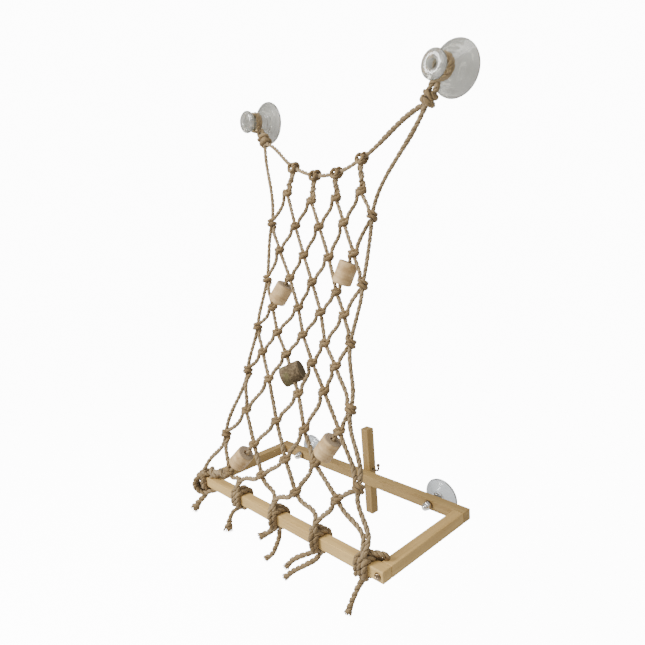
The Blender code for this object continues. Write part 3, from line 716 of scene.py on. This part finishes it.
def foot_points(index, heading):
    """A leg's last stretch, in under its hitch; the leftmost lies along the rail instead."""
    x, side = HITCH_X[index], -heading
    if index == 0:
        return [Vector(p) for p in (*LEFT_FOOT, (-116, -120.4, 10.4))]
    return [net_point(x + side * 2.2, 18.5), Vector((x + side * 0.3, -124.4, 14.6)),
            Vector((x - side * 1.7, -126.2, 11.6)), Vector((x - side * 2.1, -126.8, 8.6))]


def fuller_below(path):
    """Ropes near the front rail are looser and so look thicker."""
    return 1.0 + 0.2 * np.clip((170 - path[:, 2]) / 150, 0, 1)


KNOT_SPOTS = np.array([net_point(*knot) for row in [HEAD_KNOTS, *NET_ROWS] for knot in row])


# Painted shade: full within 4.5 mm of a knot's centre, fading out by 8.5 mm
def painted_shade_at_knots(path):
    gap = np.min(np.linalg.norm(path[:, None] - KNOT_SPOTS[None], axis=2), axis=1)
    return np.clip((8.5 - gap) / 4.0, 0, 1)


def build_net_ropes():
    for rope, (x, z) in enumerate(HEAD_KNOTS):
        left_fold, top = fold_over_head_rope(x, z, -1)
        right_fold, _ = fold_over_head_rope(x, z, 1)
        left = left_fold[::-1] + leg_route(rope, -1)
        right = right_fold[::-1] + leg_route(rope, 1)
        nodes = (f"net_strand_{2 * rope + 1}", f"net_strand_{2 * rope + 2}")
        add_rope(f"net_rope_{rope + 1}", left[::-1] + [top] + right, "net", nodes, seed=rope,
                 swell=fuller_below, shade=painted_shade_at_knots)


def build_left_bundle():
    """A second rope wound loosely round the lowest left leg, along the rail's rear top edge."""
    path = smooth_path([knot_spot(len(NET_ROWS) - 1, 0), *LEFT_FOOT, (-117, -119.8, 10.6)], 2.0)
    _, normal, binormal = path_frames(path)
    run = arc_lengths(path)
    angle = TURN * run / BUNDLE_LAY
    reach = 3.0 + 0.5 * np.sin(run / 3.1)
    around = np.cos(angle)[:, None] * normal + np.sin(angle)[:, None] * binormal
    add_rope("left_foot_bundle", path + around * reach[:, None], "net", seed=77,
             swell=fuller_below, shade=painted_shade_at_knots)


def neck_loop(side):
    """The rope wound round an upper cup's neck, from one leg of the lashing to the other."""
    centre = Vector((side * CUP_X, NECK_Y, CUP_Z))
    down = (Vector((side * LASHING_X, NECK_Y, LASHING_Z)) - centre).normalized()
    across = Vector((-down.z, 0, down.x))
    radius = NECK_R + ROPE_R + 0.2
    points = []
    steps = 26
    for i in range(steps + 1):
        share = i / steps
        angle = math.radians(NECK_HALF_WIND * (1 - 2 * share))
        spot = centre + radius * (math.cos(angle) * down + math.sin(angle) * across)
        points.append(spot + Vector((0, 1.8 - 3.6 * share, 0)))

    def leg(sign):
        aside = across * sign * 2.2 + Vector((0, sign * 0.8, 0))
        return [centre + down * reach + aside for reach in (13, 19, 25)]

    return leg(1)[::-1] + points + leg(-1)


def edge_route(side):
    """The edge rope from the front rail up to the lashing knot."""
    index = 0 if side < 0 else -1
    x = HITCH_X[index]
    points = [Vector((x + side * 1.8, -126.6, 8.6)), Vector((x + side * 2.4, -125.2, 12.8)),
              net_point(x + side * 2.2, 18)]
    for row in NET_ROWS[::-1]:
        if len(row) == 5:
            knot_x, z = row[index]
            points += [net_point(knot_x + side * 1.6, z - 6), net_point(knot_x + side * 1.2, z),
                       net_point(knot_x + side * 1.6, z + 6)]
    knot = Vector((side * LASHING_X, NECK_Y, LASHING_Z))
    below = (net_point(*NET_ROWS[1][index]) - knot).normalized()
    return points + [knot + below * 10 + Vector((side * 0.6, 0, 0)), knot + below * 4]


def build_border_rope():
    """One rope: up the left edge, round the left neck, along the head, and the same on the right."""
    nodes = ["left_edge_rope", "left_cup_lashing", "head_rope", "right_cup_lashing", "right_edge_rope"]
    left_knot = Vector((-LASHING_X, NECK_Y, LASHING_Z))
    right_knot = Vector((LASHING_X, NECK_Y, LASHING_Z))
    head = [net_point(x, z) for x, z in HEAD_KNOTS]
    into_left = (head[0] - left_knot).normalized()
    into_right = (head[-1] - right_knot).normalized()
    route = edge_route(-1) + neck_loop(-1)
    route += [left_knot + into_left * 8, *head, right_knot + into_right * 8]
    route += neck_loop(1) + edge_route(1)[::-1]

    def swell(path):
        """Looser and so thicker near the front rail, by the right lashing and round both necks."""
        near = np.linalg.norm(path - np.array(right_knot + into_right * 30), axis=1)
        on_head = path[:, 2] > 305
        lashing = np.zeros(len(path))
        for side in (-1, 1):
            middle = np.array((side * (CUP_X + LASHING_X) / 2, NECK_Y, (CUP_Z + LASHING_Z) / 2))
            lashing += np.clip((24 - np.linalg.norm(path - middle, axis=1)) / 8, 0, 1)
        return fuller_below(path) + 0.32 * np.exp(-(near / 26) ** 2) * on_head + 0.25 * lashing

    add_rope("border_rope", route, "net", nodes, seed=9, swell=swell)


def build_lashing_knots():
    """The bulky knot that closes each lashing: turns round both legs."""
    for side, name in ((-1, "left"), (1, "right")):
        centre = Vector((side * CUP_X, NECK_Y, CUP_Z))
        knot = Vector((side * LASHING_X, NECK_Y, LASHING_Z))
        down = (knot - centre).normalized()
        across = Vector((-down.z, 0, down.x))
        out = Vector((0, -1, 0))
        steps = 22
        points = []
        for i in range(steps + 1):
            share = i / steps
            angle = TURN * 2.3 * share + 0.4
            reach = 3.2 * math.sin(TURN * 0.75 * share) - 1.5 * share
            points.append(knot + down * reach + across * 4.6 * math.cos(angle) + out * 4.2 * math.sin(angle))
        points = [knot + down * 1 + across * 2.0, *points, knot - down * 2 - out * 1.5]
        add_rope(f"{name}_lashing_knot", points, "net", seed=21 + side, swell=wrap_swell, shade=even_painted_shade)


# ---------------------------------------------------------------- hitches and tails

def round_rail(turn, lift=0.0):
    """(y, z) of a rope wound on the squared front rail; whole turns start on top and go forward."""
    half = RAIL_HALF + ROPE_R + 0.1 + lift
    corner = ROPE_R + 0.7 + lift
    flat = 2 * (half - corner)
    bend = math.pi / 2 * corner
    quarter, rest = divmod((turn % 1) * 4 * (flat + bend), flat + bend)
    if rest <= flat:
        y, z = flat / 2 - rest, half
    else:
        angle = (rest - flat) / corner
        y = -flat / 2 - corner * math.sin(angle)
        z = flat / 2 + corner * math.cos(angle)
    for _ in range(int(quarter)):
        y, z = -z, y
    return y, z


def wound(x_of_turn, lift_of_turn, first, last):
    """The route of a rope wound on the front rail from one turn count to another."""
    points = []
    steps = round((last - first) * 20)
    for i in range(steps + 1):
        turn = first + (last - first) * i / steps
        y, z = round_rail(turn, lift_of_turn(turn))
        points.append(Vector((x_of_turn(turn), FRONT_AXIS_Y + y, z)))
    return points


def wrap_swell(path):
    return np.full(len(path), WRAP_SWELL)


# Painted shade, even along the whole rope
def even_painted_shade(path):
    return np.full(len(path), PAINTED_SHADE_SHARE)


def build_hitches():
    """Three turns of thick rope round the front rail; on two hitches the last crosses the others."""
    for number in (1, 2, 3):
        x = HITCH_X[number]
        crossing = number > 1

        def across(turn):
            if crossing and turn > 2:
                back = 9.0 * min(1.0, (turn - 2) / 0.4) - 5.5 * max(0.0, (turn - 2.2) / 0.3)
                return x - WRAP_PITCH * 0.9 + back
            return x - WRAP_PITCH * (turn - 1.1)

        def lift(turn):
            rise = min(1.0, max(0.0, (turn - 1.98) / 0.12)) * min(1.0, max(0.0, (2.5 - turn) / 0.1))
            return 0.5 + (2.4 * rise * rise * (3 - 2 * rise) if crossing else 0.0)

        add_rope(f"rail_wrap_{number + 1}", wound(across, lift, -0.5, 2.5), "root",
                 (f"rail_hitch_{number + 1}",), seed=30 + number, swell=wrap_swell, shade=even_painted_shade)
    build_right_lashing(HITCH_X[4])
    build_left_lashing()


def build_right_lashing(x):
    """Turns on the rail just inside the screw, with a slack loop behind its top edge."""

    def across(turn):
        return x + 6.0 - 4.3 * (turn + 0.3)

    points = [(x + 1, -120, 10.2), (x + 7, -117.5, 11.2), (x + 12, -113.6, 9.4), (x + 11.4, -110.6, 5.4),
              (x + 7, -110.2, 0.8), (x + 5.6, -112.8, -5.2), (x + 5.8, -117, -8.2)]
    points = [Vector(p) for p in points] + wound(across, lambda turn: 0.5, -0.36, 2.5)
    add_rope("corner_wrap_right", points, "root", ("rail_hitch_5",), seed=41,
             swell=wrap_swell, shade=even_painted_shade)


def build_left_lashing():
    """Slack turns round the outer corner of the frame, and two tight ones over the rail's end."""
    corner = Vector((-120, -121, 0))
    outward, sideways = Vector((-1, -1, 0)).normalized(), Vector((1, -1, 0)).normalized()
    turn_of_loop = [(-3, 8.6), (4, 8.4), (9.6, 6.2), (13.6, 1.4), (14.2, -4.6), (11.2, -9.4), (5.6, -11.8),
                    (-2, -9.8), (-8.6, -8.2), (-12.2, -3.4), (-12, 3.4), (-8.4, 7.6)]
    points = []
    for lap in range(3):
        for i, (reach, height) in enumerate(turn_of_loop):
            shift = -4.8 + 4.4 * (lap + i / len(turn_of_loop))
            grow = 1 + 0.05 * math.sin(2.3 * lap + i)
            points.append(corner + outward * reach * grow + sideways * shift + Vector((0, 0, height)))
    points += [corner + Vector((-1, -3, -9.8)), corner + Vector((-3, -4.5, -13))]
    add_rope("corner_wrap_left", points, "root", ("rail_hitch_1",), seed=39,
             swell=wrap_swell, shade=even_painted_shade)
    over_end = wound(lambda turn: -124.6 + 2.6 * (turn + 0.5), lambda turn: 0.6, -0.5, 1.6)
    add_rope("corner_wrap_left_end", over_end, "root", ("rail_hitch_1",), seed=40,
             swell=wrap_swell, shade=even_painted_shade)


def build_tails():
    for number, (name, route) in enumerate(TAILS.items()):
        length = arc_lengths(smooth_path(route))[-1]
        thick, blunt, brush = TAIL_SHAPES[name]

        def fray(path):
            run = arc_lengths(path)
            return 1 + 0.35 * np.clip(1 - (run[-1] - run) / 7.0, 0, 1) ** 1.5

        def swell(path):
            run = arc_lengths(path)
            return thick + blunt * np.clip(1 - (run[-1] - run) / 10.0, 0, 1)

        tail, path = add_rope(f"{name}_rope", route, "root", (name,), seed=50 + number, fray=fray,
                              swell=swell, longest=1.5, brush=brush, shade=even_painted_shade)


# ---------------------------------------------------------------- cups, beads and fittings

def build_upper_cups():
    for side, name in ((-1, "left"), (1, "right")):
        shell = Shell()
        turned(shell, UPPER_CUP, (side * CUP_X, 0, CUP_Z))
        add_piece(shell, f"{name}_upper_cup_shell", CLEAR, f"upper_{name}_cup",
                  (f"upper_{name}_cup",))


def build_lower_fittings():
    for side, name in ((-1, "left"), (1, "right")):
        x = side * LOWER_CUP_X
        shell = Shell()
        turned(shell, LOWER_CUP, (x, 0, 0))
        add_piece(shell, f"{name}_lower_cup_shell", CLEAR_BLUE, "root", (f"lower_{name}_cup",))
        shell = Shell()
        turned(shell, DOME_NUT, (x, NUT_REAR_Y, 0), shape=hexagonal)
        add_piece(shell, f"{name}_dome_nut", NICKEL, "root", (f"lower_{name}_cup_dome_nut",))


def hexagonal(x, z, y):
    """Press a turned nut's skirt, the part behind its dome, into a hexagon."""
    angle = np.arctan2(z, x)
    facet = (angle + math.pi / 6) % (math.pi / 3) - math.pi / 6
    radius = np.hypot(x, z)
    flat = NUT_HALF_FLATS / np.cos(facet)
    wanted = np.where(radius > NUT_HALF_FLATS, np.minimum(flat, radius), radius)
    scale = np.where(radius > 0, wanted / np.maximum(radius, 1e-6), 1)
    return x * scale, z * scale, y


def cross_recess(x, z, y):
    """Sink a cross into the middle of a screw's head."""
    arm = np.minimum(np.abs(x), np.abs(z))
    inside = (arm < RECESS_HALF) & (np.hypot(x, z) < RECESS_REACH) & (y < -0.2)
    return x, z, np.where(inside, y + RECESS_DEPTH, y)


def build_screws():
    """Round-head screws with a cross recess, in the front corners, the rear corners and the brace."""
    head = [(0.05, -SCREW_HEAD_HEIGHT)]
    for step in range(1, 19):
        angle = step * math.pi / 36
        head.append((SCREW_HEAD_R * math.sin(angle), -SCREW_HEAD_HEIGHT * math.cos(angle)))
    for name, x, y, facing, length in SCREWS:
        shank = [(1.5, 0.0), (1.5, length - 3.0), (0.05, length)]

        def shape(across, up, along):
            across, up, along = cross_recess(across, up, along)
            return across * facing, up, along * facing

        shell = Shell()
        turned(shell, head + shank, (x, y, 0), shape=shape)
        add_piece(shell, f"{name}_turned", ZINC, "root", (name,))


def build_hook():
    """A rod that comes out of the brace and turns up into a ball."""
    x, y, z = HOOK_BALL
    rod = smooth_path([(3.8, y, 5), (12, y, 5), (14.4, y, 5.5), (x, y, 7.2), (x, y, 9.8)], 0.4)
    points, radii = list(rod), [HOOK_ROD_R] * len(rod)
    for degrees in range(-58, 90, 8):
        angle = math.radians(degrees)
        points.append((x, y, z + HOOK_BALL_R * math.sin(angle)))
        radii.append(max(0.1, HOOK_BALL_R * math.cos(angle)))
    shell = Shell()
    tube(shell, points, radii)
    add_piece(shell, "brace_hook_rod", DARK_STEEL, "brace", ("brace_hook",))


def bead_shell(centre, axis, profile, end_from, ripple, seed, open_hole):
    """A bead from a (radius, along) profile.

    ripple gives the depth of its waves and of its roughness. Its surface coordinates are the
    radius, as a share of the largest on a bead without a hole, the place along it, and 1 on its ends.
    """
    rng = np.random.default_rng(seed)
    axis = np.array(axis)
    start = unit(np.cross(axis, (0.2, 0.9, 0.3)))
    other = np.cross(axis, start)
    ring = np.linspace(0, TURN, 72, endpoint=False)
    radius, along = np.array(profile, float).T
    outer = np.clip(radius / radius.max() * 1.6 - 0.6, 0, 1)
    waves = sum(rng.uniform(0.3, 1.0) * np.sin(k * ring + rng.uniform(0, TURN)) / k for k in (2, 3, 5, 7))
    rough = rng.normal(0, 1, (len(profile), len(ring)))
    rough = (rough + np.roll(rough, 1, axis=1) + np.roll(rough, -1, axis=1)) / 3
    reach = radius[:, None] + outer[:, None] * (ripple[0] * waves[None] + ripple[1] * rough)
    tilt = 0.35 * np.sign(along)[:, None] * np.cos(ring + seed)[None] * outer[:, None]
    grid = (np.array(centre) + (along[:, None] + tilt)[..., None] * axis
            + reach[..., None] * (np.cos(ring)[None, :, None] * start + np.sin(ring)[None, :, None] * other))
    shape = grid.shape[:2]
    ends = (np.abs(along) > end_from).astype(float)
    shown_radius = radius if open_hole else radius / radius.max()
    coords = np.stack([np.broadcast_to(row[:, None], shape) for row in (shown_radius, along, ends)],
                      axis=-1)
    shell = Shell()
    shell.add_grid(grid, coords, close_start=not open_hole, close_end=not open_hole)
    return shell


def strand_line(knot_above, knot_below):
    """The ends of a CAD strand's straight stretch between two knots."""
    (x0, z0), (x1, z1) = knot_above, knot_below
    return net_point(x0, z0 - 2.5), net_point(x1, z1 + 2.5)


def build_beads():
    """Four turned beads with a hole, all of one profile, and the bark log."""
    half = BEAD_HALF
    rounding = [(1.5, 0.0), (0.9, 0.12), (0.4, 0.45), (0.1, 0.95), (0.0, 1.6)]
    upper = [(BEAD_HOLE_R, half - 0.3)]
    upper += [(r, half) for r in (BEAD_HOLE_R + 0.3, 3.6, 5.0, 6.4)]
    upper += [(BEAD_R - inward, half - drop) for inward, drop in rounding]
    body = [(BEAD_R, along) for along in np.linspace(half - 2.4, 2.4 - half, 14)]
    profile = [*upper, *body, *[(r, -along) for r, along in upper[::-1]], upper[0]]
    for number, (name, knot_above, knot_below) in enumerate(BEAD_STRETCHES):
        top, bottom = strand_line(knot_above, knot_below)
        centre, axis = (top + bottom) / 2, (top - bottom).normalized()
        if name == "bead_bark":
            build_bark_bead(centre, axis)
            continue
        shell = bead_shell(centre, axis, profile[::-1], half - 0.2, (0.16, 0.03), 60 + number, True)
        add_piece(shell, f"{name}_turned", BEAD_WOOD, name, (name,))


def build_bark_bead(centre, strand):
    """A log that lies across its strand, turned a little out of the net."""
    up = (net_point(0, centre.z + 1) - net_point(0, centre.z)).normalized()
    net_front = Vector((1, 0, 0)).cross(up)
    turn = math.radians(LOG_TURN)
    axis = strand.cross(net_front) * math.cos(turn) + net_front * math.sin(turn)
    half = BEAD_HALF
    end = [(r, half) for r in (0.3, 2, 4, 6, 7.4, 8.2, 8.7)]
    end += [(LOG_R - 0.5, half - 0.2), (LOG_R - 0.15, half - 0.7)]
    body = [(LOG_R, along) for along in np.linspace(half - 1.4, 1.4 - half, 24)]
    profile = [*end, *body, *[(r, -along) for r, along in end[::-1]]]
    shell = bead_shell(centre, axis, profile[::-1], half - 0.1, (0.22, 0.16), 71, False)
    add_piece(shell, "bead_bark_log", BARK, "bead_bark", ("bead_bark",))


# ---------------------------------------------------------------- stage

def build_stage():
    """A pale floor and a soft studio; the camera sees both as plain white."""
    bpy.ops.mesh.primitive_plane_add(size=8.0, location=(0, 0, -0.25))
    floor = bpy.context.object
    floor.name = "floor"
    m = Nodes("floor", Base_Color=(0.9, 0.9, 0.9, 1.0), Roughness=0.9, Emission_Color=(1.0, 1.0, 1.0, 1.0))
    seen = m.add("ShaderNodeLightPath").outputs["Is Camera Ray"]
    m.link(m.maths("MULTIPLY", seen, BACKDROP_GLOW), "Emission Strength")
    floor.data.materials.append(m.material)
    world = bpy.data.worlds.new("studio")
    world.use_nodes = True
    tree = world.node_tree
    background = tree.nodes["Background"]
    background.inputs[0].default_value = (1.0, 1.0, 1.0, 1.0)
    path = tree.nodes.new("ShaderNodeLightPath")
    level = tree.nodes.new("ShaderNodeMath")
    level.operation = "MULTIPLY_ADD"
    level.inputs[1].default_value = BACKDROP_GLOW
    level.inputs[2].default_value = AMBIENT
    tree.links.new(path.outputs["Is Camera Ray"], level.inputs[0])
    tree.links.new(level.outputs[0], background.inputs[1])
    bpy.context.scene.world = world
    add_light("key", (-0.45, -0.95, 0.75), 22.0, 0.45)
    add_light("top", (0.35, -0.25, 1.1), 5.0, 0.5)


def add_light(name, location, power, size):
    light = bpy.data.lights.new(name, "AREA")
    light.energy = power
    light.size = size
    obj = bpy.data.objects.new(name, light)
    obj.location = location
    aim = Vector(LIGHT_AIM) - Vector(location)
    obj.rotation_euler = aim.to_track_quat("-Z", "Y").to_euler()
    bpy.context.scene.collection.objects.link(obj)


def build_camera():
    camera = bpy.data.cameras.new("camera")
    camera.lens = CAMERA_LENS
    camera.clip_start = 0.01
    obj = bpy.data.objects.new("camera", camera)
    yaw, pitch = math.radians(CAMERA_YAW), math.radians(CAMERA_PITCH)
    roll = math.radians(CAMERA_ROLL)
    forward = Vector((-math.sin(yaw) * math.cos(pitch), math.cos(yaw) * math.cos(pitch), -math.sin(pitch)))
    level = Vector((math.cos(yaw), math.sin(yaw), 0))
    upright = level.cross(forward)
    right = level * math.cos(roll) + upright * math.sin(roll)
    up = upright * math.cos(roll) - level * math.sin(roll)
    turn = Matrix((right, up, -forward)).transposed()
    obj.matrix_world = Matrix.Translation(Vector(CAMERA_AT) * MM) @ turn.to_4x4()
    bpy.context.scene.collection.objects.link(obj)
    bpy.context.scene.camera = obj


# ---------------------------------------------------------------- assembly

def paint(node, material):
    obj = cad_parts[node]
    obj.data.materials.clear()
    obj.data.materials.append(material)


paint("front_rail", WOOD_FRONT)
paint("rear_rail", WOOD_REAR)
paint("left_side_rail", WOOD_LEFT)
paint("right_side_rail", WOOD_RIGHT)
paint("brace_bar", WOOD_BRACE)
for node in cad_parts:
    if node.endswith("stud") or node.endswith("washer"):
        paint(node, ZINC)

build_net_ropes()
build_left_bundle()
build_border_rope()
build_lashing_knots()
build_hitches()
build_tails()
build_upper_cups()
build_lower_fittings()
build_screws()
build_hook()
build_beads()
build_stage()
build_camera()
